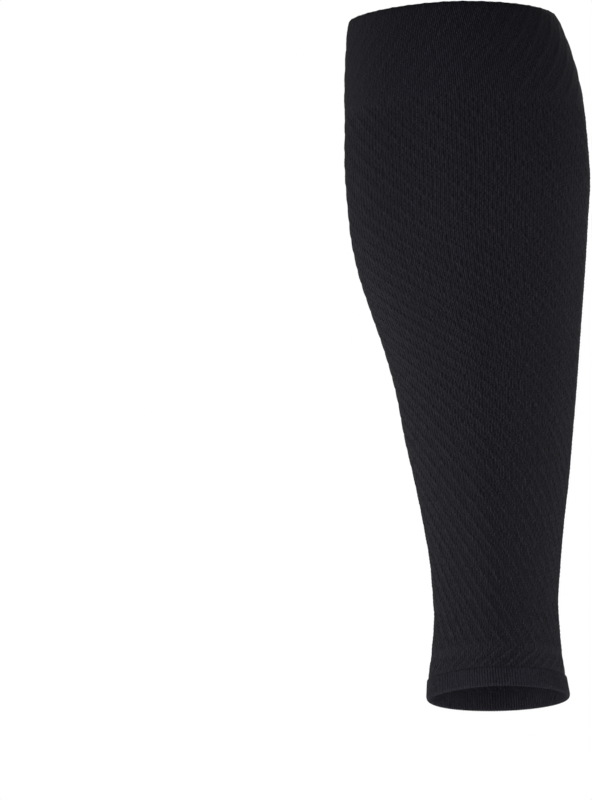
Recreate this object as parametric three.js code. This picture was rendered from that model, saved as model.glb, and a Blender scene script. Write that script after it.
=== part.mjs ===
// A footless compression calf sleeve in its worn form: a seamless knitted tube, open at the knee and at the ankle.
// Millimetres, +Z up. The origin is on the leg's axis, at the widest girth of the calf. The shin faces -Y,
// the inner (medial) side of the leg is at -X and the outer (lateral) side at +X.

import * as THREE from "three";

// Heights along the leg
const KNEE_TO_CALF = 75;
const CALF_TO_ANKLE = 213;
const ANKLE_TO_HEM = 42;
const CUFF_HEIGHT = 44.5;
const ANKLE_BAND_HEIGHT = 10.5;
const HEM_HEIGHT = 9.5;

// Widths from side to side and depths from shin to back, over the ribs
const KNEE_WIDTH = 100.5;
const KNEE_DEPTH = 112;
const CALF_WIDTH = 118;
const CALF_DEPTH = 119;
const ANKLE_WIDTH = 60;
const ANKLE_DEPTH = 72;
const HEM_WIDTH = 68.5;
const HEM_DEPTH = 79;

// Cloth
const TUBE_WALL = 1.2;
const TUBE_RIB_RELIEF = 0.7;
const CUFF_WALL = 1.6;
const CUFF_RIB_RELIEF = 0.4;
const BAND_WALL = 1.3;
const BAND_RIB_RELIEF = 0.6;
const HEM_WALL = 2;
const HEM_PROUD = 0.35;
const HEM_EDGE_ROUND = 1.6;
const CUFF_EDGE_ROUND = 3;
const JOINT_GAP = 0.3;

// Helical ribs: how many go round, and how far each zone winds them, in turns of the leg
const RIBS = 34;
const TUBE_TURNS = 0.95;
const CUFF_TURNS = -0.13;
const BAND_TURNS = -0.055;
const KNEE_SLANT = THREE.MathUtils.degToRad(-2.2);
const HEM_SLANT = THREE.MathUtils.degToRad(-2.3);

// Cloth colours
const BODY_BLACK = 0x1f1e23;
const EDGE_BLACK = 0x1b1a1f;

// Mesh fineness
const ROW_SPACING = 11.5;
const OUTLINE_STEPS = 180;

const LENGTH = KNEE_TO_CALF + CALF_TO_ANKLE + ANKLE_TO_HEM;
const CALF_LEVEL = ANKLE_TO_HEM + CALF_TO_ANKLE;
const BAND_LEVEL = HEM_HEIGHT;
const TUBE_LEVEL = BAND_LEVEL + ANKLE_BAND_HEIGHT;
const CUFF_LEVEL = LENGTH - CUFF_HEIGHT;

// Measured sections: level is the height above the hem's edge, lateral the share of the width on the outer side
// of the leg's axis, and shin the share of the depth in front of it.
const KNEE = { level: LENGTH, width: KNEE_WIDTH, depth: KNEE_DEPTH, lateral: 0.488, shin: 0.5 };
const CALF = { level: CALF_LEVEL, width: CALF_WIDTH, depth: CALF_DEPTH, lateral: 0.511, shin: 0.433 };
const ANKLE = { level: ANKLE_TO_HEM, width: ANKLE_WIDTH, depth: ANKLE_DEPTH, lateral: 0.53, shin: 0.472 };
const HEM = { level: 0, width: HEM_WIDTH, depth: HEM_DEPTH, lateral: 0.503, shin: 0.487 };

// How the leg changes between two measured sections. down is the share of the way from the upper to the lower
// one, and the other columns are the share of the change that each side has made by then.
const KNEE_TO_CALF_SHAPE = [
  { down: 0.2, medial: 0.32, lateral: 0.46, shin: 0.1, back: 0.32 },
  { down: 0.4, medial: 0.56, lateral: 0.76, shin: 0.3, back: 0.6 },
  { down: 0.65, medial: 0.76, lateral: 0.95, shin: 0.6, back: 0.88 },
];
const CALF_TO_ANKLE_SHAPE = [
  { down: 0.12, medial: 0.02, lateral: 0.09, shin: 0.1, back: 0.04 },
  { down: 0.21, medial: 0.1, lateral: 0.17, shin: 0.19, back: 0.13 },
  { down: 0.31, medial: 0.28, lateral: 0.27, shin: 0.29, back: 0.27 },
  { down: 0.4, medial: 0.46, lateral: 0.36, shin: 0.38, back: 0.42 },
  { down: 0.5, medial: 0.61, lateral: 0.46, shin: 0.49, back: 0.57 },
  { down: 0.6, medial: 0.7, lateral: 0.57, shin: 0.6, back: 0.7 },
  { down: 0.7, medial: 0.82, lateral: 0.68, shin: 0.71, back: 0.81 },
  { down: 0.8, medial: 0.92, lateral: 0.81, shin: 0.82, back: 0.9 },
  { down: 0.9, medial: 0.99, lateral: 0.92, shin: 0.93, back: 0.97 },
];
const ANKLE_TO_HEM_SHAPE = [
  { down: 0.29, medial: 0.22, lateral: 0.05, shin: 0.2, back: 0.2 },
  { down: 0.52, medial: 0.49, lateral: 0.2, shin: 0.45, back: 0.5 },
  { down: 0.76, medial: 0.81, lateral: 0.55, shin: 0.78, back: 0.8 },
];

// How the ribs wind down the tube: turn is the share of TUBE_TURNS reached at that share of the tube's height.
const TUBE_WINDING = [
  { down: 0, turn: 0 },
  { down: 0.12, turn: 0.118 },
  { down: 0.26, turn: 0.261 },
  { down: 0.43, turn: 0.453 },
  { down: 0.52, turn: 0.567 },
  { down: 0.6, turn: 0.654 },
  { down: 0.68, turn: 0.725 },
  { down: 0.83, turn: 0.853 },
  { down: 1, turn: 1 },
];

// One rib across: along is the share of the rib's pitch, and rise the share of its relief.
const RIB_SHAPE = [
  { along: 0, rise: 0 },
  { along: 0.3, rise: 1 },
  { along: 0.7, rise: 1 },
];

// A rounded edge: out is the share of the rounding's height, counted from the edge, and sunk how far the outer
// face lies behind the full thickness there, as a share of half the wall.
const EDGE_SHAPE = [
  { out: 0, sunk: 1 },
  { out: 0.25, sunk: 0.35 },
  { out: 1, sunk: 0 },
];

// At a rounded edge the inner face comes forward by this share of the wall.
const EDGE_LIP = 0.2;

// Each quarter of a section is a superellipse: 2 is round, and less is flatter, as over the inner side of the shin.
const SHIN_MEDIAL_FULLNESS = 1.66;
const SHIN_LATERAL_FULLNESS = 1.96;
const BACK_FULLNESS = 2.06;

// The smooth curve through two columns of a table, without overshoot between its rows.
function smoothCurve(rows, place, value) {
  const x = rows.map((row) => row[place]);
  const y = rows.map((row) => row[value]);
  const last = x.length - 1;
  const rise = x.slice(1).map((end, i) => (y[i + 1] - y[i]) / (end - x[i]));
  const slope = x.map((_, i) => {
    if (i === 0 || i === last) {
      return rise[Math.min(i, last - 1)];
    }
    const product = rise[i - 1] * rise[i];
    return product <= 0 ? 0 : (2 * product) / (rise[i - 1] + rise[i]);
  });
  return (at) => {
    const inside = THREE.MathUtils.clamp(at, x[0], x[last]);
    const found = x.findIndex((end, i) => i > 0 && inside <= end);
    const i = found - 1;
    const span = x[found] - x[i];
    const t = (inside - x[i]) / span;
    const hold = (1 + 2 * t) * (1 - t) * (1 - t);
    const leave = t * (1 - t) * (1 - t) * span;
    const arrive = t * t * (t - 1) * span;
    return y[i] * hold + slope[i] * leave + y[found] * (1 - hold) + slope[found] * arrive;
  };
}

// How far the cloth reaches from the leg's axis to each side in a measured section.
function reachesOf(section) {
  return {
    level: section.level,
    medial: section.width * (1 - section.lateral),
    lateral: section.width * section.lateral,
    shin: section.depth * section.shin,
    back: section.depth * (1 - section.shin),
  };
}

// The rows of one shape table as real reaches, between the measured sections above and below it.
function reachesBetween(upper, lower, shape) {
  const start = reachesOf(upper);
  const end = reachesOf(lower);
  return shape.map((row) => ({
    level: THREE.MathUtils.lerp(start.level, end.level, row.down),
    medial: THREE.MathUtils.lerp(start.medial, end.medial, row.medial),
    lateral: THREE.MathUtils.lerp(start.lateral, end.lateral, row.lateral),
    shin: THREE.MathUtils.lerp(start.shin, end.shin, row.shin),
    back: THREE.MathUtils.lerp(start.back, end.back, row.back),
  }));
}

const REACHES = [
  reachesOf(KNEE),
  ...reachesBetween(KNEE, CALF, KNEE_TO_CALF_SHAPE),
  reachesOf(CALF),
  ...reachesBetween(CALF, ANKLE, CALF_TO_ANKLE_SHAPE),
  reachesOf(ANKLE),
  ...reachesBetween(ANKLE, HEM, ANKLE_TO_HEM_SHAPE),
  reachesOf(HEM),
].reverse();

const medialAt = smoothCurve(REACHES, "level", "medial");
const lateralAt = smoothCurve(REACHES, "level", "lateral");
const shinAt = smoothCurve(REACHES, "level", "shin");
const backAt = smoothCurve(REACHES, "level", "back");
const tubeTurnAt = smoothCurve(TUBE_WINDING, "down", "turn");

// Turns that the ribs have wound between the knee's edge and a level. Zones meet without a step in a rib.
function windingAt(level) {
  const inCuff = THREE.MathUtils.clamp((LENGTH - level) / CUFF_HEIGHT, 0, 1);
  const inTube = THREE.MathUtils.clamp((CUFF_LEVEL - level) / (CUFF_LEVEL - TUBE_LEVEL), 0, 1);
  const inBand = THREE.MathUtils.clamp((TUBE_LEVEL - level) / ANKLE_BAND_HEIGHT, 0, 1);
  return CUFF_TURNS * inCuff + TUBE_TURNS * tubeTurnAt(inTube) + BAND_TURNS * inBand;
}

// Edges and seams slope down a little to the outer side.
function slantAt(level) {
  return Math.tan(THREE.MathUtils.lerp(HEM_SLANT, KNEE_SLANT, level / LENGTH));
}

// The outline of the cloth at one level, from the back, round by the inner side, the shin and the outer side.
// The function that it returns gives the point at a share of a turn, measured along the cloth, and so far
// inwards from the ribs' tops.
function outlineAt(level) {
  const steps = Array.from({ length: OUTLINE_STEPS + 1 }, (_, i) => (i / OUTLINE_STEPS) * 2 * Math.PI);
  const points = steps.map((angle) => {
    const across = Math.sin(angle);
    const along = Math.cos(angle);
    const shinFullness = across > 0 ? SHIN_MEDIAL_FULLNESS : SHIN_LATERAL_FULLNESS;
    const power = 2 / (along < 0 ? shinFullness : BACK_FULLNESS);
    const side = across > 0 ? medialAt(level) : lateralAt(level);
    const end = along > 0 ? backAt(level) : shinAt(level);
    return new THREE.Vector2(
      -Math.sign(across) * Math.abs(across) ** power * side,
      Math.sign(along) * Math.abs(along) ** power * end,
    );
  });
  const lengths = [0];
  for (let i = 1; i < points.length; i += 1) {
    lengths.push(lengths[i - 1] + points[i].distanceTo(points[i - 1]));
  }
  const girth = lengths[OUTLINE_STEPS];
  return (turn, inset) => {
    const wanted = (turn - Math.floor(turn)) * girth;
    const next = lengths.findIndex((length, i) => i > 0 && wanted <= length);
    const from = points[next - 1];
    const to = points[next];
    const share = (wanted - lengths[next - 1]) / (lengths[next] - lengths[next - 1]);
    const tangent = to.clone().sub(from).normalize();
    const x = THREE.MathUtils.lerp(from.x, to.x, share) - tangent.y * inset;
    const y = THREE.MathUtils.lerp(from.y, to.y, share) + tangent.x * inset;
    return new THREE.Vector3(x, y, level - CALF_LEVEL + x * slantAt(level));
  };
}

// One ring of points of a wall. Each column keeps to its own place on a rib all the way down.
function ringAt(level, columns, insetOf) {
  const outline = outlineAt(level);
  return columns.map((column) => outline(column.rib / RIBS + windingAt(level), insetOf(column)));
}

const OUTER_COLUMNS = Array.from({ length: RIBS }, (_, rib) =>
  RIB_SHAPE.map((row) => ({ rib: rib + row.along, rise: row.rise })),
).flat();
const INNER_COLUMNS = OUTER_COLUMNS.filter((column) => column.rise === 0);

// Triangles between two rings of as many points each. They face away from the leg when upper is the higher ring.
function bandFaces(faces, lower, upper, count) {
  for (let i = 0; i < count; i += 1) {
    const next = (i + 1) % count;
    faces.push(lower + i, lower + next, upper + next);
    faces.push(lower + i, upper + next, upper + i);
  }
}

// Triangles of a flat edge. The outer ring has RIB_SHAPE.length points for each one of the inner ring.
function edgeFaces(faces, outer, inner, facesUp) {
  const each = RIB_SHAPE.length;
  const add = (a, b, c) => (facesUp ? faces.push(a, b, c) : faces.push(a, c, b));
  for (let rib = 0; rib < RIBS; rib += 1) {
    const nextInner = inner + ((rib + 1) % RIBS);
    const middle = Math.ceil(each / 2);
    for (let k = 0; k < each; k += 1) {
      const from = outer + rib * each + k;
      const to = outer + ((rib * each + k + 1) % (RIBS * each));
      add(from, to, k < middle ? inner + rib : nextInner);
    }
    add(inner + rib, outer + rib * each + middle, nextInner);
  }
}

// A closed tube of cloth from its rows of the outer and of the inner wall, both from the bottom up.
function clothTube(outerRows, innerRows) {
  const points = [];
  const starts = [];
  const ends = [];
  const faces = [];
  for (const row of outerRows) {
    starts.push(points.length);
    points.push(...ringAt(row.level, OUTER_COLUMNS, row.insetOf));
  }
  for (const row of innerRows) {
    ends.push(points.length);
    points.push(...ringAt(row.level, INNER_COLUMNS, row.insetOf));
  }
  for (let i = 1; i < starts.length; i += 1) {
    bandFaces(faces, starts[i - 1], starts[i], OUTER_COLUMNS.length);
  }
  for (let i = 1; i < ends.length; i += 1) {
    bandFaces(faces, ends[i], ends[i - 1], INNER_COLUMNS.length);
  }
  edgeFaces(faces, starts[0], ends[0], false);
  edgeFaces(faces, starts.at(-1), ends.at(-1), true);
  const geometry = new THREE.BufferGeometry().setFromPoints(points);
  geometry.setIndex(faces);
  geometry.computeVertexNormals();
  return geometry;
}

// Levels from low to high in even steps of ROW_SPACING or a little less.
function evenLevels(low, high) {
  const steps = Math.ceil((high - low) / ROW_SPACING);
  return Array.from({ length: steps + 1 }, (_, i) => THREE.MathUtils.lerp(low, high, i / steps));
}

// Both walls of a ribbed zone, whose inner face lies one wall behind the valleys of the ribs.
function ribbedRows(levels, wall, relief) {
  return {
    outer: levels.map((level) => ({ level, insetOf: (column) => relief * (1 - column.rise) })),
    inner: levels.map((level) => ({ level, insetOf: () => relief + wall })),
  };
}

function fabric(name, geometry, color) {
  const material = new THREE.MeshStandardMaterial({ color, roughness: 0.85, metalness: 0 });
  const mesh = new THREE.Mesh(geometry, material);
  mesh.name = name;
  return mesh;
}

// The wide band under the knee: a denser knit with shallow ribs and a rounded upper edge.
function topCuff() {
  const foot = CUFF_LEVEL + JOINT_GAP;
  const shoulder = LENGTH - CUFF_EDGE_ROUND;
  const rows = ribbedRows(evenLevels(foot, shoulder), CUFF_WALL, CUFF_RIB_RELIEF);
  const rounded = EDGE_SHAPE.slice(0, -1).reverse();
  for (const row of rounded) {
    const sunk = (row.sunk * (CUFF_WALL + CUFF_RIB_RELIEF)) / 2;
    const level = LENGTH - CUFF_EDGE_ROUND * row.out;
    rows.outer.push({
      level,
      insetOf: (column) => Math.max(sunk, CUFF_RIB_RELIEF * (1 - column.rise)),
    });
  }
  const full = CUFF_WALL + CUFF_RIB_RELIEF;
  rows.inner.push({ level: LENGTH, insetOf: () => full * (1 - EDGE_LIP) });
  return fabric("top_cuff", clothTube(rows.outer, rows.inner), EDGE_BLACK);
}

// The long tube round the calf, whose raised ribs wind down the leg.
function calfTube() {
  const levels = evenLevels(TUBE_LEVEL + JOINT_GAP, CUFF_LEVEL);
  const rows = ribbedRows(levels, TUBE_WALL, TUBE_RIB_RELIEF);
  return fabric("calf_tube", clothTube(rows.outer, rows.inner), BODY_BLACK);
}

// The short zone over the hem, where the ribs turn back.
function ankleBand() {
  const levels = evenLevels(BAND_LEVEL + JOINT_GAP, TUBE_LEVEL);
  const rows = ribbedRows(levels, BAND_WALL, BAND_RIB_RELIEF);
  return fabric("ankle_band", clothTube(rows.outer, rows.inner), BODY_BLACK);
}

// The narrow welt at the ankle's opening, thicker than the tube and rounded at both edges.
function ankleHem() {
  const sunkOf = (row) => (row.sunk * HEM_WALL) / 2 - HEM_PROUD;
  const lower = EDGE_SHAPE.map((row) => ({
    level: HEM_EDGE_ROUND * row.out,
    insetOf: () => sunkOf(row),
  }));
  const upper = EDGE_SHAPE.slice(1)
    .reverse()
    .map((row) => ({ level: HEM_HEIGHT - HEM_EDGE_ROUND * row.out, insetOf: () => sunkOf(row) }));
  const outer = [...lower, ...upper];
  const inner = [
    { level: 0, insetOf: () => HEM_WALL * (1 - EDGE_LIP) - HEM_PROUD },
    { level: HEM_EDGE_ROUND, insetOf: () => HEM_WALL - HEM_PROUD },
    { level: HEM_HEIGHT, insetOf: () => HEM_WALL - HEM_PROUD },
  ];
  return fabric("ankle_hem", clothTube(outer, inner), EDGE_BLACK);
}

const sleeve = new THREE.Group();
sleeve.add(topCuff(), calfTube(), ankleBand(), ankleHem());

export default sleeve;
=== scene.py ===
# %% [markdown]
# A black compression sleeve for the calf, in the shape that a leg gives it. On the real one everything is
# knitted in one go on a round machine: a dense cuff under the knee, a long tube with slanting ribs, a short
# band where the ribs turn back, and a doubled hem. The imported CAD model is loaded first, as a frame that
# holds the true sizes.

# %% The frame
import math

import bpy
import numpy as np
from mathutils import Matrix, Vector


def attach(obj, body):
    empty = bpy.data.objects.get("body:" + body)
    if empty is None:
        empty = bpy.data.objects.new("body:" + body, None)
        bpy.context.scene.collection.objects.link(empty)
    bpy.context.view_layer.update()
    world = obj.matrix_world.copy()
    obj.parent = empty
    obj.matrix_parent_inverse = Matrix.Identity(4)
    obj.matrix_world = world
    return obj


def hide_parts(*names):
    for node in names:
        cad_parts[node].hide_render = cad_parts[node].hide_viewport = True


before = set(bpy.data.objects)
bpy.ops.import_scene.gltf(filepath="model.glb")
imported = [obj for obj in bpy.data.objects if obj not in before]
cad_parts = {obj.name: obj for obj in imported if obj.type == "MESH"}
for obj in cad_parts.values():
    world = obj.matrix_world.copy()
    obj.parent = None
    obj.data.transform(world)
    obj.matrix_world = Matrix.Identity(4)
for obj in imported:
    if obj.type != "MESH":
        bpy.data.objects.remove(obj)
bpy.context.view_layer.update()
print("frame nodes:", sorted(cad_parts))

# %% [markdown]
# The sizes repeat those of the CAD part, in metres. Levels are heights above the lower edge of the hem.
# The frame's origin lies on the leg's axis at the calf's widest girth, so a level turns into a height by
# taking CALF_LEVEL away. The two open ends slant a little from side to side. The last three values say
# how full each quarter of the leg's outline is: 2 is an ellipse, and less is more pointed.

# %% Sizes along and round the leg
LENGTH = 0.330
CALF_LEVEL = 0.255
ANKLE_LEVEL = 0.042
CUFF_LEVEL = 0.2855
TUBE_LEVEL = 0.020
HEM_LEVEL = 0.0095
TUBE_WALL, TUBE_RELIEF = 0.0012, 0.0007
CUFF_WALL, CUFF_RELIEF = 0.0016, 0.0004
BAND_WALL, BAND_RELIEF = 0.0013, 0.0006
HEM_WALL, HEM_PROUD = 0.0020, 0.00035
HEM_ROUND = 0.0016
CUFF_ROUND = 0.0030
KNEE_SLANT = math.radians(-2.2)
HEM_SLANT = math.radians(-2.3)
FULL_SHIN_INNER, FULL_SHIN_OUTER, FULL_BACK = 1.66, 1.96, 2.06

# %% [markdown]
# A knitted tube is counted in wales, the columns of stitches that run down the leg, and courses, the rows
# that run round it. The count of wales stays the same from knee to ankle, so the same 170 columns lie
# wide apart on the calf and close together at the ankle. That is what makes the fine lines lean inwards
# with the taper. Five wales make one slanting rib. The turns say how far the ribs wind round the leg
# within a zone, and the minus signs that they wind the other way in the cuff and the band.

# %% The knit's counts
WALES = 170
RIBS = 34
COURSE = 0.0008
TUBE_TURNS = 0.95
CUFF_TURNS = -0.13
BAND_TURNS = -0.055

# %% [markdown]
# A leg isn't a cone or a stack of circles. Four measured sections, each with its own reach to the inner
# side, the outer side, the shin and the back, and short tables of how each reach changes between them
# give the form. The tables hold shares, so the form keeps its character if a size changes.

# %% The leg's form
# level, width, depth, share of the width on the outer side, share of the depth in front
KNEE = (LENGTH, 0.1005, 0.112, 0.488, 0.5)
CALF = (CALF_LEVEL, 0.118, 0.119, 0.511, 0.433)
ANKLE = (ANKLE_LEVEL, 0.060, 0.072, 0.53, 0.472)
HEM = (0.0, 0.0685, 0.079, 0.503, 0.487)

# share of the way down, then the share of the change made by inner side, outer side, shin and back
KNEE_TO_CALF = (
    (0.2, 0.32, 0.46, 0.1, 0.32),
    (0.4, 0.56, 0.76, 0.3, 0.6),
    (0.65, 0.76, 0.95, 0.6, 0.88),
)
CALF_TO_ANKLE = (
    (0.12, 0.02, 0.09, 0.1, 0.04),
    (0.21, 0.1, 0.17, 0.19, 0.13),
    (0.31, 0.28, 0.27, 0.29, 0.27),
    (0.4, 0.46, 0.36, 0.38, 0.42),
    (0.5, 0.61, 0.46, 0.49, 0.57),
    (0.6, 0.7, 0.57, 0.6, 0.7),
    (0.7, 0.82, 0.68, 0.71, 0.81),
    (0.8, 0.92, 0.81, 0.82, 0.9),
    (0.9, 0.99, 0.92, 0.93, 0.97),
)
ANKLE_TO_HEM = (
    (0.29, 0.22, 0.05, 0.2, 0.2),
    (0.52, 0.49, 0.2, 0.45, 0.5),
    (0.76, 0.81, 0.55, 0.78, 0.8),
)
# share of the way down the tube, share of TUBE_TURNS wound by then
WINDING = (
    (0, 0), (0.12, 0.118), (0.26, 0.261), (0.43, 0.453), (0.52, 0.567),
    (0.6, 0.654), (0.68, 0.725), (0.83, 0.853), (1, 1),
)

# %% [markdown]
# Straight lines between the rows of a table would show as kinks in the outline, and an ordinary spline
# would swing past the widest girth. So the tables are joined by cubic pieces whose slopes are held back
# where the values turn.


# %% A smooth curve through a table
def smooth_curve(places, values):
    """The smooth curve through a table, without overshoot between its rows."""
    x, y = np.array(places, float), np.array(values, float)
    rise = np.diff(y) / np.diff(x)
    slope = np.empty_like(y)
    slope[0], slope[-1] = rise[0], rise[-1]
    product = rise[:-1] * rise[1:]
    total = rise[:-1] + rise[1:]
    slope[1:-1] = np.where(product > 0, 2 * product / np.where(product > 0, total, 1), 0)

    def value(at):
        at = np.clip(at, x[0], x[-1])
        i = np.clip(np.searchsorted(x, at) - 1, 0, len(x) - 2)
        span = x[i + 1] - x[i]
        t = (at - x[i]) / span
        hold = (1 + 2 * t) * (1 - t) ** 2
        start = y[i] * hold + slope[i] * t * (1 - t) ** 2 * span
        return start + y[i + 1] * (1 - hold) + slope[i + 1] * t * t * (t - 1) * span

    return value


# %% [markdown]
# The four sections and the tables between them give one list from hem to knee, and each of its columns
# one curve.


# %% The four reaches
def reaches(section):
    """Level and reach to the inner side, the outer side, the shin and the back."""
    level, width, depth, outer, front = section
    return np.array([level, width * (1 - outer), width * outer, depth * front, depth * (1 - front)])


def between(upper, lower, shape):
    start, end = reaches(upper), reaches(lower)
    return [start + (end - start) * np.array(row) for row in shape]


REACHES = [reaches(KNEE), *between(KNEE, CALF, KNEE_TO_CALF), reaches(CALF)]
REACHES += [*between(CALF, ANKLE, CALF_TO_ANKLE), reaches(ANKLE)]
REACHES += [*between(ANKLE, HEM, ANKLE_TO_HEM), reaches(HEM)]
REACHES = np.array(REACHES[::-1])
inner_reach, outer_reach, shin_reach, back_reach = (
    smooth_curve(REACHES[:, 0], REACHES[:, k]) for k in range(1, 5)
)
tube_turn = smooth_curve(*zip(*WINDING))
widest = float(inner_reach(CALF_LEVEL) + outer_reach(CALF_LEVEL))
print("sections:", len(REACHES), "widest", round(widest, 4))

# %% [markdown]
# One closed outline of the leg at a level is drawn as four quarters of a superellipse, and then walked
# along evenly, because a knitting machine spreads its needles evenly: a share of a turn means a share of
# the girth. The walk starts at the back and goes round by the inner side, the shin and the outer side.
# Beside each point it gives the direction that points away from the leg.

# %% The leg's outline
OUTLINE_STEPS = 1440


def slant(level):
    return math.tan(HEM_SLANT + (KNEE_SLANT - HEM_SLANT) * level / LENGTH)


def outline(level, turns):
    """Points of the ribs' tops at these shares of a turn, their outward directions and the girth."""
    angle = np.linspace(0, 2 * math.pi, OUTLINE_STEPS + 1)
    across, along = np.sin(angle), np.cos(angle)
    shin = np.where(across > 0, FULL_SHIN_INNER, FULL_SHIN_OUTER)
    power = 2 / np.where(along < 0, shin, FULL_BACK)
    side = np.where(across > 0, inner_reach(level), outer_reach(level))
    end = np.where(along > 0, back_reach(level), shin_reach(level))
    x = -np.sign(across) * np.abs(across) ** power * side
    y = np.sign(along) * np.abs(along) ** power * end
    walked = np.concatenate([[0], np.cumsum(np.hypot(np.diff(x), np.diff(y)))])
    girth = walked[-1]
    at = (turns % 1) * girth
    step = girth / OUTLINE_STEPS
    px, py = np.interp(at, walked, x), np.interp(at, walked, y)
    ahead = [np.interp((at + step) % girth, walked, v) for v in (x, y)]
    behind = [np.interp((at - step) % girth, walked, v) for v in (x, y)]
    tx, ty = ahead[0] - behind[0], ahead[1] - behind[1]
    size = np.hypot(tx, ty)
    out = np.stack([ty / size, -tx / size, ty / size * slant(level)], 1)
    return np.stack([px, py, level - CALF_LEVEL + px * slant(level)], 1), out, girth


# %% [markdown]
# Two more things depend on the level alone. One is how far the ribs have wound. The other is how slack
# the knit is: over the calf it is stretched most, which pulls its ribs flat, and at the ankle least,
# where they stand up.

# %% Winding and slack
BACK = np.zeros(1)


def winding(level):
    """Turns that the ribs have wound between the knee's edge and a level."""
    in_cuff = np.clip((LENGTH - level) / (LENGTH - CUFF_LEVEL), 0, 1)
    in_tube = np.clip((CUFF_LEVEL - level) / (CUFF_LEVEL - TUBE_LEVEL), 0, 1)
    in_band = np.clip((TUBE_LEVEL - level) / (TUBE_LEVEL - HEM_LEVEL), 0, 1)
    return CUFF_TURNS * in_cuff + TUBE_TURNS * tube_turn(in_tube) + BAND_TURNS * in_band


WIDE_GIRTH = outline(CALF_LEVEL, BACK)[2]
SLIM_GIRTH = outline(ANKLE_LEVEL, BACK)[2]
print("girth at the calf", round(WIDE_GIRTH, 4), "at the ankle", round(SLIM_GIRTH, 4))


def slackness(levels):
    """0 where the knit is stretched most, over the calf, and 1 where it is stretched least."""
    girths = np.array([outline(level, BACK)[2] for level in levels])
    return np.clip((WIDE_GIRTH - girths) / (WIDE_GIRTH - SLIM_GIRTH), 0, 1)


# %% [markdown]
# Each zone of the sleeve is one closed skin: up the outside, over the edge, down the inside and back. Its
# profile is a list of rows, each with a level, how far it lies behind the ribs' tops, and which way it
# faces, in degrees from outwards over up to inwards. Sweeping the profile round the outline could be done
# with a curve and a bevel, but then the stitches would slide. Here every wale has its own columns of
# vertices, so that ribs, colour and stitches all follow the knit.

# %% Profiles
OUTWARDS, QUARTER, INWARDS, FULL = 0, 90, 180, 360


def straight(low, high, rows, inset, facing):
    return [(level, inset, facing) for level in np.linspace(low, high, rows)]


def rounded(level, inset, height, depth, rows):
    """A quarter round of rows that leaves a face at level and turns from outwards to up."""
    found = []
    for k in range(1, rows + 1):
        facing = QUARTER * k / rows
        a = math.radians(facing)
        found.append((level + height * math.sin(a), inset + depth * (1 - math.cos(a)), facing))
    return found


def wall(profile, columns):
    """Rows of points, of directions to raise them in, and the distance walked along the profile."""
    turns = np.arange(columns) / columns
    points, proud, walked = [], [], [0.0]
    for k, (level, inset, facing) in enumerate(profile):
        place, out, girth = outline(level, turns)
        a = math.radians(facing)
        points.append(place - out * inset)
        proud.append(out * math.cos(a) + np.array([0, 0, math.sin(a)]))
        if k:
            walked.append(walked[-1] + math.hypot(level - profile[k - 1][0], inset - profile[k - 1][1]))
    return np.array(points), np.array(proud), np.array(walked)


# %% [markdown]
# The skin is a grid that closes on itself both ways, like a doughnut pulled long, so it has no loose edge
# and no pole. Two UV maps go with it. The first counts wales and courses and drives the stitches. The
# second lays the whole skin out in one square for baking.

# %% The skin's mesh and its maps
KNIT_MAP = "knit"
BAKE_MAP = "OFBake"


def closed_grid(name, points):
    rows, columns = points.shape[:2]
    ids = np.arange(rows * columns).reshape(rows, columns)
    next_row, next_column = np.roll(ids, -1, 0), np.roll(ids, -1, 1)
    corner = np.roll(next_row, -1, 1)
    faces = np.stack([ids, next_column, corner, next_row], 2).reshape(-1, 4)
    mesh = bpy.data.meshes.new(name)
    mesh.from_pydata(points.reshape(-1, 3).tolist(), [], faces.tolist())
    return mesh


def add_maps(mesh, up, columns):
    """Both maps. up is the distance walked at each row and, last, back at the first one."""
    low, high = np.repeat(up[:-1], columns), np.repeat(up[1:], columns)
    left = np.tile(np.arange(columns), len(up) - 1) / columns
    right = left + 1 / columns
    corners_u = np.stack([left, right, right, left], 1)
    corners_v = np.stack([low, low, high, high], 1)
    for map_name, u, v in (
        (KNIT_MAP, corners_u * WALES, corners_v / COURSE),
        (BAKE_MAP, corners_u, corners_v / up[-1]),
    ):
        layer = mesh.uv_layers.new(name=map_name)
        layer.uv.foreach_set("vector", np.stack([u, v], 2).astype(np.float32).ravel())


# %% [markdown]
# Some facts about the knit are stored on the points: the share of a turn, the winding, the inside, the
# slack and the direction to raise the ribs in. The node tree that makes the ribs and the material both
# read them, so shape and tone can't drift apart. Inside the hem the cloth darkens upwards, away from the
# light that comes in from below.


# %% The skin
def skin(name, profile, columns, raised, dark_from=0.0, winds=True):
    """A closed skin from a profile. raised gives each row's share of the relief, dark_from the level at
    which the painted shade on the inside is full, and winds says whether its ribs wind round the leg."""
    points, proud, walked = wall(profile, columns)
    closing = math.dist(profile[-1][:2], profile[0][:2])
    mesh = closed_grid(name, points)
    add_maps(mesh, np.append(walked, walked[-1] + closing), columns)
    rows = len(profile)
    levels = np.array([row[0] for row in profile])
    facing = np.cos(np.radians([row[2] for row in profile]))
    # The inside gets painted shade. With dark_from it rises from none at the hem's lower edge to full at
    # that level.
    inside_shade_share = np.clip(levels / dark_from, 0, 1) if dark_from else np.ones(rows)
    for key, kind, values in (
        ("turn", "FLOAT", np.tile(np.arange(columns) / columns, rows)),
        ("wound", "FLOAT", np.repeat(winding(levels) * winds, columns)),
        # inside: the share of painted shade on the inner face
        ("inside", "FLOAT", np.repeat((facing < 0) * inside_shade_share, columns)),
        ("slack", "FLOAT", np.repeat(slackness(levels), columns)),
        ("proud", "FLOAT_VECTOR", (proud * np.array(raised)[:, None, None]).reshape(-1)),
    ):
        layer = mesh.attributes.new(key, kind, "POINT")
        layer.data.foreach_set("vector" if kind == "FLOAT_VECTOR" else "value", values.astype(np.float32))
    piece = bpy.data.objects.new(name, mesh)
    bpy.context.scene.collection.objects.link(piece)
    return piece


# %% [markdown]
# Node trees are built in code here, in the geometry and in the materials. Two helpers keep that short:
# one adds any node with its values or links, the other a Math node.


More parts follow.
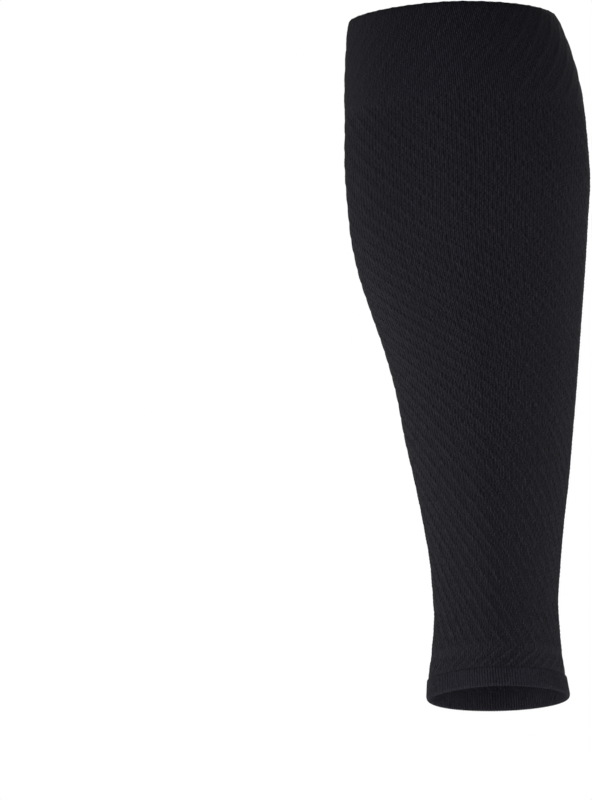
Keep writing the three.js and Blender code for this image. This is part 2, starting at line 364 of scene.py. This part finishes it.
# %% Helpers for node trees
def add(tree, kind, inputs=None, **settings):
    """A node with its settings made. inputs maps a socket's index or name to a value or a source."""
    node = tree.nodes.new(kind)
    for key, value in settings.items():
        setattr(node, key, value)
    for key, value in (inputs or {}).items():
        if isinstance(value, bpy.types.NodeSocket):
            tree.links.new(value, node.inputs[key])
        else:
            node.inputs[key].default_value = value
    return node


def maths(tree, operation, first, second=0.0, third=0.0):
    node = add(tree, "ShaderNodeMath", {0: first, 1: second, 2: third}, operation=operation)
    return node.outputs[0]


# %% [markdown]
# Cut across, a rib of this sleeve is a broad cord with a groove at each foot, and a slimmer cord fills
# the gap to the next one. One function builds that section from two soft steps. The geometry uses it for
# the height and the material for the tone. Whole turns are added before a fraction is taken, because it
# has to stay above zero.

# %% The section of a rib
RIB_REACH = 0.3
SLIM_RIB = 0.4
WHOLE_TURNS = 64.0


def rib_section(tree, place, reach, slim):
    """Height from 0 to 1 over one rib: place runs from 0 to 1, with the top of the broad cord at 0.5 and
    half a slim cord at each end."""
    off_top = maths(tree, "ABSOLUTE", maths(tree, "SUBTRACT", place, 0.5))
    falling = {"Value": off_top, "From Max": reach, "To Min": 1.0, "To Max": 0.0}
    rising = {"Value": off_top, "From Min": reach, "From Max": 0.5, "To Max": slim}
    broad, slim_cord = (
        add(tree, "ShaderNodeMapRange", step, interpolation_type="SMOOTHSTEP").outputs[0]
        for step in (falling, rising)
    )
    return maths(tree, "ADD", broad, slim_cord)


# %% [markdown]
# Slanting ribs could be painted on as bump, but then the outline would stay smooth and the exported mesh
# would be a plain tube. Geometry Nodes raise them for real. The tree takes the share of a turn, takes
# away the winding, and multiplies by the number of ribs: the fraction of that is the place across one
# rib. Where the knit is stretched, Flattening brings the rib nearer to its middle height. A cosine of the
# wale count then sinks the groove between two columns of stitches, and a little noise makes the yarn
# uneven.

# %% The tree that raises the ribs
UNEVEN_FREQUENCY = 420.0
RIB_INPUTS = (
    ("Geometry", "NodeSocketGeometry", None),
    ("Ribs", "NodeSocketFloat", RIBS),
    ("Rib relief", "NodeSocketFloat", TUBE_RELIEF),
    ("Rib reach", "NodeSocketFloat", RIB_REACH),
    ("Slim rib", "NodeSocketFloat", SLIM_RIB),
    ("Flattening", "NodeSocketFloat", 0.0),
    ("Wales", "NodeSocketFloat", WALES),
    ("Wale depth", "NodeSocketFloat", 0.0),
    ("Unevenness", "NodeSocketFloat", 0.0),
    ("Seed", "NodeSocketFloat", 7.0),
    ("Material", "NodeSocketMaterial", None),
)


def stored(tree, label, kind="FLOAT"):
    node = add(tree, "GeometryNodeInputNamedAttribute", {"Name": label}, data_type=kind)
    return next(s for s in node.outputs if s.name == "Attribute" and s.enabled)


def knit_height(tree, given):
    """How far the knit stands up: rib, less the groove between two wales, plus the yarn's unevenness."""
    turn = stored(tree, "turn")
    unwound = maths(tree, "SUBTRACT", turn, stored(tree, "wound"))
    counted = maths(tree, "ADD", maths(tree, "MULTIPLY", unwound, given["Ribs"]), WHOLE_TURNS)
    plain_rib = rib_section(tree, maths(tree, "FRACT", counted), given["Rib reach"], given["Slim rib"])
    stretch = maths(tree, "SUBTRACT", 1.0, stored(tree, "slack"))
    standing = maths(tree, "SUBTRACT", 1.0, maths(tree, "MULTIPLY", stretch, given["Flattening"]))
    rib = maths(tree, "MULTIPLY_ADD", maths(tree, "SUBTRACT", plain_rib, 0.5), standing, 0.5)
    round_wale = maths(tree, "MULTIPLY", maths(tree, "MULTIPLY", turn, given["Wales"]), 2 * math.pi)
    groove = maths(tree, "MULTIPLY_ADD", maths(tree, "COSINE", round_wale), 0.5, 0.5)
    sunk = maths(tree, "MULTIPLY", groove, given["Wale depth"])
    raised = maths(tree, "SUBTRACT", maths(tree, "MULTIPLY", rib, given["Rib relief"]), sunk)
    noise = add(tree, "ShaderNodeTexNoise", {"W": given["Seed"], "Scale": UNEVEN_FREQUENCY, "Detail": 1.0},
                noise_dimensions="4D")
    uneven = maths(tree, "MULTIPLY", maths(tree, "SUBTRACT", noise.outputs[0], 0.5), given["Unevenness"])
    return maths(tree, "ADD", raised, uneven)


def rib_tree():
    tree = bpy.data.node_groups.new("knitted ribs", "GeometryNodeTree")
    for label, kind, value in RIB_INPUTS:
        socket = tree.interface.new_socket(label, in_out="INPUT", socket_type=kind)
        if value is not None:
            socket.default_value = value
    tree.interface.new_socket("Geometry", in_out="OUTPUT", socket_type="NodeSocketGeometry")
    given = tree.nodes.new("NodeGroupInput").outputs
    raising = {0: stored(tree, "proud", "FLOAT_VECTOR"), "Scale": knit_height(tree, given)}
    offset = add(tree, "ShaderNodeVectorMath", raising, operation="SCALE").outputs[0]
    moving = {"Geometry": given["Geometry"], "Offset": offset}
    moved = add(tree, "GeometryNodeSetPosition", moving).outputs[0]
    smooth = add(tree, "GeometryNodeSetShadeSmooth", {"Geometry": moved}).outputs[0]
    real = add(tree, "GeometryNodeRealizeInstances", {"Geometry": smooth}).outputs[0]
    painting = {"Geometry": real, "Material": given["Material"]}
    painted = add(tree, "GeometryNodeSetMaterial", painting).outputs[0]
    add(tree, "NodeGroupOutput", {0: painted})
    return tree


RIB_TREE = rib_tree()
print("rib tree:", len(RIB_TREE.nodes), "nodes")

# %% [markdown]
# A skin gets the tree as a modifier, with its own values, and the result is turned into a plain mesh at
# once. So the finished piece carries no modifier, and its mesh is what is seen.


# %% Running the tree on a skin
def knit(piece, **values):
    """Raises the ribs of a skin and leaves it a plain mesh."""
    modifier = piece.modifiers.new("ribs", "NODES")
    modifier.node_group = RIB_TREE
    for item in RIB_TREE.interface.items_tree:
        key = item.name.replace(" ", "_").lower()
        if item.in_out == "INPUT" and key in values:
            modifier[item.identifier] = values[key]
    evaluated = piece.evaluated_get(bpy.context.evaluated_depsgraph_get())
    made = bpy.data.meshes.new_from_object(evaluated)
    piece.modifiers.clear()
    old = piece.data
    piece.data = made
    bpy.data.meshes.remove(old)
    made.name = piece.name
    print(piece.name, len(made.vertices), "vertices,", 2 * len(made.polygons), "triangles")
    return piece


# %% [markdown]
# The cloth is a plain stockinette of matt black nylon with elastane. Every stitch is a V, and the Vs
# stack into wales. A picture of knit would show its pixels and its seam, so the material draws one V in
# each cell of the knit map instead. The distance from the middle of the wale makes the two legs of the V,
# and the course count, pushed along by that distance, makes them slant. A chance number for each stitch
# lightens one of its legs and darkens the other, since no two stitches are pulled equally tight.

# %% One stitch
STITCH_SLANT = 0.55
LEG_SPREAD = 1.9


def stitches(tree, wale, course, crest, course_wave):
    """Height of the V-shaped stitches, and a chance number from -0.5 to 0.5 for each leg."""
    off_centre = maths(tree, "SUBTRACT", maths(tree, "FRACT", wale), 0.5)
    leg = maths(tree, "MULTIPLY", maths(tree, "ABSOLUTE", off_centre), 2.0)
    slanted = maths(tree, "MULTIPLY_ADD", leg, STITCH_SLANT, course)
    from_crest = maths(tree, "MULTIPLY_ADD", leg, LEG_SPREAD, -crest)
    across = maths(tree, "SUBTRACT", 1.0, maths(tree, "MULTIPLY", from_crest, from_crest))
    wave = maths(tree, "COSINE", maths(tree, "MULTIPLY", slanted, 2 * math.pi))
    along = maths(tree, "MULTIPLY_ADD", wave, course_wave, 1 - course_wave)
    counts = {0: maths(tree, "FLOOR", wale), 1: maths(tree, "FLOOR", slanted)}
    cell = add(tree, "ShaderNodeCombineXYZ", counts).outputs[0]
    chance = add(tree, "ShaderNodeTexWhiteNoise", {"Vector": cell}, noise_dimensions="2D").outputs[0]
    which_leg = maths(tree, "SIGN", off_centre)
    one_sided = maths(tree, "MULTIPLY", maths(tree, "SUBTRACT", chance, 0.5), which_leg)
    return maths(tree, "MULTIPLY", across, along), one_sided


# %% [markdown]
# Covered yarn is fuzzy and never one even black. A fine noise in the place on the object gives it that, a
# little longer up the leg than across it. And between two ribs less light comes in than one soft lamp
# would show, so the rib's own section is used once more, to make the cords lighter and the grooves
# darker.

# %% The yarn and the ribs' tone
YARN_FREQUENCY = (1750.0, 1750.0, 900.0)
MEAN_RIB = 0.42


def yarn_noise(tree):
    on_piece = add(tree, "ShaderNodeTexCoord").outputs["Object"]
    drawn_out = {0: on_piece, 1: YARN_FREQUENCY}
    place = add(tree, "ShaderNodeVectorMath", drawn_out, operation="MULTIPLY").outputs[0]
    return add(tree, "ShaderNodeTexNoise", {"Vector": place, "Scale": 1.0, "Detail": 0.0}).outputs[0]


def fact(tree, name):
    """What a skin has stored on its points under this name."""
    return add(tree, "ShaderNodeAttribute", attribute_name=name).outputs["Fac"]


def rib_tone(tree, wale, loose, look):
    ribs = look["ribs"]
    wound_ribs = maths(tree, "MULTIPLY_ADD", fact(tree, "wound"), -ribs, WHOLE_TURNS)
    place = maths(tree, "FRACT", maths(tree, "MULTIPLY_ADD", wale, ribs / WALES, wound_ribs))
    rib = rib_section(tree, place, look["reach"], look["slim"])
    standing = maths(tree, "MULTIPLY_ADD", loose, look["flattening"], 1 - look["flattening"])
    shading = maths(tree, "MULTIPLY", maths(tree, "SUBTRACT", rib, MEAN_RIB), look["rib_shade"])
    return maths(tree, "MULTIPLY_ADD", shading, standing, 1.0)


# %% [markdown]
# All of this is multiplied into one tone, which is 1 on the mean and never black. Where the knit is slack
# its stitches lie closer, so they look crisper. It is also painted darker there, towards the ankle: painted
# shade that evens out the stronger lamp light near the ankle. The inside is darker too, with painted shade
# for the shade that falls inside the tube. The table gives the look of the plain ribbed knit. The other
# zones change a few of its values.

# %% The knit's look and tone
FLATTENING = 0.5
# how much darker the slack knit is painted, as painted shade against the stronger lamp light near the ankle
SLACK_PAINTED_SHADE = -0.3
SLACK_CRISPNESS = 0.4
MEAN_STITCH = 0.6
DARKEST = 0.03
PLAIN_LOOK = {
    "crest": 0.87,
    "course_wave": 0.15,
    # how strongly the stitches' painted shade shows
    "contrast": 1.15,
    "grain": 0.75,
    "mottle": 0.7,
    "rib_shade": 0.32,
    "flattening": FLATTENING,
    "ribs": RIBS,
    "reach": RIB_REACH,
    "slim": SLIM_RIB,
    # tone of the inside where its painted shade is full
    "inside": 0.8,
    "bump": 0.0003,
    "roughness": 0.78,
    "specular": 0.05,
    "sheen": 0.02,
}


def knit_tone(tree, wale, stitch, one_sided, yarn, look):
    loose = fact(tree, "slack")
    crispness = maths(tree, "MULTIPLY_ADD", loose, SLACK_CRISPNESS, 1.0)
    depth = maths(tree, "MULTIPLY", crispness, look["contrast"])
    # the stitches' height painted into the tone as painted shade: lighter on the legs' crests, darker
    # between them
    stitch_painted_shade = maths(tree, "MULTIPLY_ADD", maths(tree, "SUBTRACT", stitch, MEAN_STITCH), depth, 1.0)
    spread = maths(tree, "MULTIPLY_ADD", one_sided, maths(tree, "MULTIPLY", crispness, look["grain"]), 1.0)
    uneven = maths(tree, "MULTIPLY", maths(tree, "SUBTRACT", yarn, 0.5), crispness)
    drift = maths(tree, "MULTIPLY_ADD", uneven, look["mottle"], 1.0)
    lit_rib = rib_tone(tree, wale, loose, look)
    # painted shade on the inside of the tube
    inside_painted_shade = maths(tree, "MULTIPLY_ADD", fact(tree, "inside"), look["inside"] - 1, 1.0)
    # painted shade, darker where the knit is slack, towards the ankle
    slack_painted_shade = maths(tree, "MULTIPLY_ADD", loose, SLACK_PAINTED_SHADE, 1.0)
    fine = maths(tree, "MULTIPLY", stitch_painted_shade, spread)
    broad = maths(tree, "MULTIPLY", drift, lit_rib)
    zone = maths(tree, "MULTIPLY", inside_painted_shade, slack_painted_shade)
    tone = maths(tree, "MULTIPLY", maths(tree, "MULTIPLY", fine, broad), zone)
    return maths(tree, "MAXIMUM", tone, DARKEST)


# %% [markdown]
# The tone scales the yarn's black, the stitches also make the bump, and their crests are rubbed a touch
# smoother. Nylon has a weak, cool sheen seen from the side. It is the same all over, so it is set
# straight on the shader.

# %% The knit material
YARN_RELIEF = 0.5
CREST_POLISH = 0.1
SHEEN_ROUGHNESS = 0.4
SHEEN_TINT = (0.86, 0.87, 1.0, 1.0)


def knit_material(name, colour, **changes):
    """A knit of yarn in one colour, with the plain look and these changes to it."""
    look = {**PLAIN_LOOK, **changes}
    material = bpy.data.materials.new(name)
    material.use_nodes = True
    tree = material.node_tree
    sockets = tree.nodes["Principled BSDF"].inputs
    place = add(tree, "ShaderNodeUVMap", uv_map=KNIT_MAP).outputs[0]
    split = add(tree, "ShaderNodeSeparateXYZ", {0: place})
    wale, course = split.outputs[0], split.outputs[1]
    stitch, one_sided = stitches(tree, wale, course, look["crest"], look["course_wave"])
    yarn = yarn_noise(tree)
    tone = knit_tone(tree, wale, stitch, one_sided, yarn, look)
    tint = add(tree, "ShaderNodeVectorMath", {0: colour, "Scale": tone}, operation="SCALE").outputs[0]
    tree.links.new(tint, sockets["Base Color"])
    height = maths(tree, "MULTIPLY_ADD", yarn, YARN_RELIEF, stitch)
    relief = add(tree, "ShaderNodeBump", {"Height": height, "Distance": look["bump"], "Strength": 1.0})
    tree.links.new(relief.outputs[0], sockets["Normal"])
    rough = maths(tree, "MULTIPLY_ADD", stitch, -CREST_POLISH, look["roughness"] + CREST_POLISH / 2)
    tree.links.new(rough, sockets["Roughness"])
    sockets["Specular IOR Level"].default_value = look["specular"]
    sockets["Sheen Weight"].default_value = look["sheen"]
    sockets["Sheen Roughness"].default_value = SHEEN_ROUGHNESS
    sockets["Sheen Tint"].default_value = SHEEN_TINT
    return material


# %% [markdown]
# There is one material to a zone. The dense cuff has both legs of its stitches evenly spaced, so its lines
# look twice as fine, and its ribs are faint. The turned ribs of the band stand out more, since their
# painted shade is deeper, and the band's inside, set back behind the hem, is given deeper painted shade
# too. On the hem every wale is a rib of its own, so its rib count is the wale count, and no slim cord lies
# between. The painted shade between its ribs is the deepest.

# %% The four knits
HEM_REACH = 0.45
TUBE_KNIT = knit_material("ribbed black knit", (0.0160, 0.0151, 0.0202))
CUFF_KNIT = knit_material(
    "dense black knit", (0.0158, 0.0148, 0.0208),
    crest=0.95, contrast=1.7, grain=0.6, rib_shade=0.17,
)
# deeper painted shade in the band's grooves and on its inside
BAND_KNIT = knit_material("turned black knit", (0.0159, 0.0151, 0.0203), rib_shade=0.5, inside=0.6)
HEM_KNIT = knit_material(
    "doubled black knit", (0.0158, 0.0149, 0.0204),
    contrast=0.8, grain=0.3, mottle=0.9, rib_shade=0.75, flattening=0.0,
    ribs=WALES, reach=HEM_REACH, slim=0.0,
)
print("knits:", [material.name for material in (TUBE_KNIT, CUFF_KNIT, BAND_KNIT, HEM_KNIT)])

# %% [markdown]
# Cuff, tube and band are knitted in one, so no seam or step may show between them. Near a border the
# relief fades to one common level, and a short tuck goes on from there behind the neighbour, so that no
# light comes through.

# %% Borders between the zones
BORDER_INSET = 0.0003
EASE = 0.004
TUCK, TUCK_DEPTH = 0.0008, 0.00035


def eased(rows, borders):
    """Rows whose relief fades to one common level at each border, and each row's share of the relief."""
    found, shares = [], []
    for level, inset, facing in rows:
        t = min([abs(level - border) / EASE for border in borders] + [1.0])
        share = t * t * (3 - 2 * t)
        found.append((level, BORDER_INSET + (inset - BORDER_INSET) * share, facing))
        shares.append(share)
    return found, shares


def tucked(border, way):
    """Two rows that go on behind the neighbouring zone. way is 1 upwards and -1 downwards."""
    shares = (0.5, 1.0)
    return [(border + way * TUCK * s, BORDER_INSET + TUCK_DEPTH * s ** 2, OUTWARDS) for s in shares]


def plain_tube(low, high, outer_rows, inner_rows, wall_thickness, relief):
    """Outer face, a tuck under the upper neighbour, inner face, a tuck under the lower neighbour."""
    outer, shares = eased(straight(low, high, outer_rows, relief, OUTWARDS), (low, high))
    upper, lower = tucked(high, 1), tucked(low, -1)[::-1]
    inner = straight(high, low, inner_rows, relief + wall_thickness, INWARDS)
    return outer + upper + inner + lower, shares + [0.0] * (len(upper) + inner_rows + len(lower))


# %% [markdown]
# The tube over the calf is the main piece. It has two columns of vertices to a wale, one on the crest and
# one in the groove, and its rows are 1.3 mm apart, which is as fine as one mesh should be. The stitches
# themselves are finer than that and are left to the material.

# %% The calf tube
COLUMNS = 2 * WALES
TUBE_ROWS, TUBE_INNER_ROWS = 206, 22
WALE_DEPTH = 0.00026
UNEVEN = 0.00012

profile, raised = plain_tube(TUBE_LEVEL, CUFF_LEVEL, TUBE_ROWS, TUBE_INNER_ROWS, TUBE_WALL, TUBE_RELIEF)
calf_tube = knit(
    skin("calf_tube_knit", profile, COLUMNS, raised),
    rib_relief=TUBE_RELIEF, flattening=FLATTENING, wale_depth=WALE_DEPTH, unevenness=UNEVEN,
    material=TUBE_KNIT,
)

# %% [markdown]
# The cuff is knitted denser, with shallow ribs that rise the other way and hardly any groove between its
# wales. Its upper edge is folded over and round, and the ribs fade out over the fold: half of them is
# left on its way up, less on its way down inside.

# %% The cuff under the knee
CUFF_ROWS, CUFF_EDGE_ROWS, CUFF_INNER_ROWS = 34, 6, 8
CUFF_WALE_DEPTH = 0.2 * WALE_DEPTH
OVER_SHARE, BACK_SHARE = 0.5, 0.3

shoulder = LENGTH - CUFF_ROUND
face, back_face = CUFF_RELIEF, CUFF_RELIEF + CUFF_WALL
outer, shares = eased(straight(CUFF_LEVEL, shoulder, CUFF_ROWS, face, OUTWARDS), (CUFF_LEVEL,))
over = rounded(shoulder, face, CUFF_ROUND, CUFF_WALL / 2, CUFF_EDGE_ROWS)
back = [(level, back_face - (inset - face), INWARDS - facing) for level, inset, facing in over[-2::-1]]
inner = straight(shoulder, CUFF_LEVEL, CUFF_INNER_ROWS, back_face, INWARDS)
lower = tucked(CUFF_LEVEL, -1)[::-1]
profile = outer + over + back + inner + lower
raised = shares + [OVER_SHARE] * len(over) + [BACK_SHARE] * len(back) + [0.0] * (len(inner) + len(lower))
cuff = knit(
    skin("cuff_knit", profile, COLUMNS, raised),
    rib_relief=CUFF_RELIEF, wale_depth=CUFF_WALE_DEPTH, unevenness=UNEVEN, material=CUFF_KNIT,
)

# %% [markdown]
# The band is a last piece of tube, only a centimetre high, in which the ribs turn back. Against the ribs
# of the tube they make a row of chevrons. Nothing but its winding differs, so it is made as the tube is.

# %% The band over the hem
BAND_ROWS, BAND_INNER_ROWS = 12, 4

profile, raised = plain_tube(HEM_LEVEL, TUBE_LEVEL, BAND_ROWS, BAND_INNER_ROWS, BAND_WALL, BAND_RELIEF)
band = knit(
    skin("ankle_band_knit", profile, COLUMNS, raised),
    rib_relief=BAND_RELIEF, wale_depth=WALE_DEPTH, unevenness=UNEVEN, material=BAND_KNIT,
)

# %% [markdown]
# The hem is doubled over, so it is thicker and its edge is round. Its upright ribs go right round the
# edge and up the inside, which gives the opening its scalloped look. The same tree makes them, as ribs
# that don't wind. Six columns of vertices to a rib are enough to keep it round.

# %% The hem
HEM_COLUMNS = 6 * WALES
HEM_RELIEF = 0.00032
HEM_UNEVEN = UNEVEN / 2
HEM_OUTER_ROWS, HEM_TOP_ROWS, HEM_INNER_ROWS, HEM_FOOT_ROWS = 8, 4, 6, 5

face = HEM_RELIEF - HEM_PROUD
back_face = HEM_WALL - HEM_PROUD - HEM_RELIEF
middle = (face + back_face) / 2
shoulder = HEM_LEVEL - HEM_ROUND / 2


def mirrored(rows, turn):
    """A quarter round gone back on the other side of the hem's middle."""
    return [(level, 2 * middle - inset, turn - facing) for level, inset, facing in rows[-2::-1]]


outer = straight(HEM_ROUND, shoulder, HEM_OUTER_ROWS, face, OUTWARDS)
top = rounded(shoulder, face, HEM_ROUND / 2, middle - face, HEM_TOP_ROWS)
inner = straight(shoulder, HEM_ROUND, HEM_INNER_ROWS, back_face, INWARDS)
foot = [
    (2 * HEM_ROUND - level, 2 * middle - inset, INWARDS + facing)
    for level, inset, facing in rounded(HEM_ROUND, face, HEM_ROUND, middle - face, HEM_FOOT_ROWS)
]
profile = outer + top + mirrored(top, INWARDS) + inner + foot + mirrored(foot, INWARDS + FULL)
raised = [1.0] * len(profile)
hem = knit(
    skin("hem_knit", profile, HEM_COLUMNS, raised, dark_from=HEM_LEVEL, winds=False),
    ribs=float(WALES), rib_reach=HEM_REACH, slim_rib=0.0, rib_relief=HEM_RELIEF, wale_depth=0.0,
    unevenness=HEM_UNEVEN, material=HEM_KNIT,
)

# %% [markdown]
# Every piece rides on the one body of the frame and stands for its CAD node, which is hidden. The tube's
# girth is also taken at a row of levels.

# %% Which piece stands for which node
GIRTHS_TAKEN = 60

for piece, node, slot_name in (
    (cuff, "top_cuff", "cuff_knit"),
    (calf_tube, "calf_tube", "ribbed_knit"),
    (band, "ankle_band", "band_knit"),
    (hem, "ankle_hem", "hem_knit"),
):
    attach(piece, "root")
    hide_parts(node)

girths = [outline(level, BACK)[2] for level in np.linspace(TUBE_LEVEL, CUFF_LEVEL, GIRTHS_TAKEN)]

# %% [markdown]
# The camera looks from a little below, straight at the shin, and is rolled so that the leg leans as it
# does when a sleeve is shown in a catalogue. It is orthographic, since hardly any perspective is seen
# from so far away.

# %% The camera
ELEVATION = math.radians(-9)
ROLL = math.radians(-3.62)
ORTHO_SCALE = 0.38326
SIGHT = (-0.0875, -0.1774)
DISTANCE = 0.9
CLIP_START, CLIP_END = 0.01, 20

knee_centre = Vector((0, 0, LENGTH - CALF_LEVEL))
right = Vector((1, 0, 0))
up = Vector((0, math.sin(ELEVATION), math.cos(ELEVATION)))
toward = Vector((0, math.cos(ELEVATION), -math.sin(ELEVATION)))
turned = Matrix((right, up, -toward)).transposed().to_4x4()
place = knee_centre + right * SIGHT[0] + up * SIGHT[1] - toward * DISTANCE
camera_data = bpy.data.cameras.new("camera")
camera_data.type = "ORTHO"
camera_data.ortho_scale = ORTHO_SCALE
camera_data.clip_start, camera_data.clip_end = CLIP_START, CLIP_END
camera = bpy.data.objects.new("camera", camera_data)
camera.matrix_world = Matrix.Translation(place) @ turned @ Matrix.Rotation(ROLL, 4, "Z")
bpy.context.scene.collection.objects.link(camera)
bpy.context.scene.camera = camera
print("camera at", tuple(round(v, 3) for v in place))

# %% [markdown]
# The floor lies well under the sleeve, since a leg would hold it up. It is only there to throw some light
# back up, and it isn't part of the object.

# %% The floor
FLOOR_HEIGHT = -0.47
FLOOR_REACH = 6.0
FLOOR_COLOUR = (0.82, 0.82, 0.82, 1)
FLOOR_ROUGHNESS = 0.9

signs = ((-1, -1), (1, -1), (1, 1), (-1, 1))
floor_corners = [(FLOOR_REACH * x, FLOOR_REACH * y, FLOOR_HEIGHT) for x, y in signs]
floor_mesh = bpy.data.meshes.new("floor")
floor_mesh.from_pydata(floor_corners, [], [(0, 1, 2, 3)])
floor = bpy.data.objects.new("floor", floor_mesh)
bpy.context.scene.collection.objects.link(floor)
pale = bpy.data.materials.new("pale floor")
pale.use_nodes = True
pale.node_tree.nodes["Principled BSDF"].inputs["Base Color"].default_value = FLOOR_COLOUR
pale.node_tree.nodes["Principled BSDF"].inputs["Roughness"].default_value = FLOOR_ROUGHNESS
floor_mesh.materials.append(pale)

# %% [markdown]
# The studio is white all round. A world as bright as it looks would wash black cloth out to grey, so the
# world is white to the camera and gives a weaker, even light to the cloth.

# %% The white world
AMBIENT = 0.235

world = bpy.data.worlds.new("studio")
world.use_nodes = True
bpy.context.scene.world = world
sky = world.node_tree
background = sky.nodes["Background"]
seen = add(sky, "ShaderNodeLightPath").outputs["Is Camera Ray"]
brightness = maths(sky, "MULTIPLY_ADD", seen, 1.0 - AMBIENT, AMBIENT)
background.inputs["Color"].default_value = (1, 1, 1, 1)
sky.links.new(brightness, background.inputs["Strength"])

# %% [markdown]
# Black cloth shows its shape mostly at its edges. A weak lamp in front and one at the left light its
# middle, a rim lamp on each side from behind draws the edges, two small ones by the ankle do the same
# lower down, and a strip under the hem lights the inside of the far wall. A large lamp high behind adds a
# soft shine along both sides and the fold at the top.


# %% The lights
def soft_light(name, place, aim, size, power):
    data = bpy.data.lights.new(name, "AREA")
    data.shape, data.size, data.size_y = "RECTANGLE", size[0], size[1]
    data.energy = power
    lamp = bpy.data.objects.new(name, data)
    lamp.location = place
    lamp.rotation_euler = (Vector(aim) - Vector(place)).to_track_quat("-Z", "Y").to_euler()
    lamp.visible_camera = False
    bpy.context.scene.collection.objects.link(lamp)
    return lamp


MIDDLE = (0, 0, -0.09)
HEM_MIDDLE = (0, 0.03, -0.25)
ANKLE_MIDDLE = (0, 0, -0.22)
# name, place, what it is aimed at, width and height in metres, power in watts
LIGHTS = (
    ("front light", (0, -1.8, 0.1), MIDDLE, (1.4, 1.4), 2.3),
    ("left light", (-1.2, -1.2, 0.2), MIDDLE, (0.8, 1.2), 2.1),
    ("hem light", (0.05, -0.33, -0.455), HEM_MIDDLE, (0.5, 0.05), 1.9),
    ("left rim light", (-0.9, 0.8, -0.1), MIDDLE, (0.5, 1.0), 3.6),
    ("right rim light", (0.9, 0.7, -0.35), MIDDLE, (0.5, 0.7), 3.3),
    ("left ankle light", (-0.35, -0.08, -0.27), ANKLE_MIDDLE, (0.15, 0.15), 0.8),
    ("right ankle light", (0.35, -0.05, -0.27), ANKLE_MIDDLE, (0.15, 0.15), 0.32),
    ("back light", (0.2, 1.9, 0.7), MIDDLE, (1.4, 1.4), 14),
)
lamps = [soft_light(*row) for row in LIGHTS]
bpy.context.scene.view_settings.view_transform = "Standard"
print("lights:", len(lamps))
